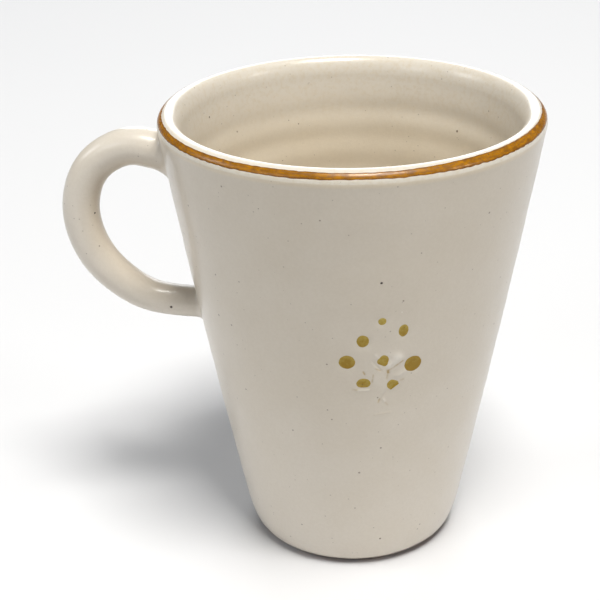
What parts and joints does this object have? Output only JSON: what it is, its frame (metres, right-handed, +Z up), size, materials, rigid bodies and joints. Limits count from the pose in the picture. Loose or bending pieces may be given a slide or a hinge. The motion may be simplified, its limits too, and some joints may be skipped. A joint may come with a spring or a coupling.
{
  "type": "stoneware mug",
  "caption": "Tall tapered stoneware mug with a round coil handle, an ochre line round the rim and a small sprig of ochre dots on a cream glaze.",
  "frame": {"origin": "centre of the flat base, on the cup's axis, at the height of the surface it stands on", "axes": "+Z up along the cup's axis; the handle points towards -X; the decorated side faces -Y"},
  "size_m": [0.122, 0.0946, 0.116],
  "materials": {
    "cream_glaze": "satin cream glaze with fine iron specks",
    "joint_slip": "the same clay as slip, under the same satin glaze",
    "ochre_band": "brushed iron ochre, mottled, under satin glaze",
    "ochre_dot": "pooled olive ochre glaze"
  },
  "bodies": {
    "root": {"mug_body": "cream_glaze", "handle": "cream_glaze", "upper_joint_slip": "joint_slip", "lower_joint_slip": "joint_slip", "rim_band": "ochre_band", "sprig_dot_tip": "ochre_dot", "sprig_dot_upper_right": "ochre_dot", "sprig_dot_upper_left": "ochre_dot", "sprig_dot_left": "ochre_dot", "sprig_dot_centre": "ochre_dot", "sprig_dot_right": "ochre_dot", "sprig_dot_lower_left": "ochre_dot", "sprig_dot_lower_right": "ochre_dot"}
  },
  "joints": []
}
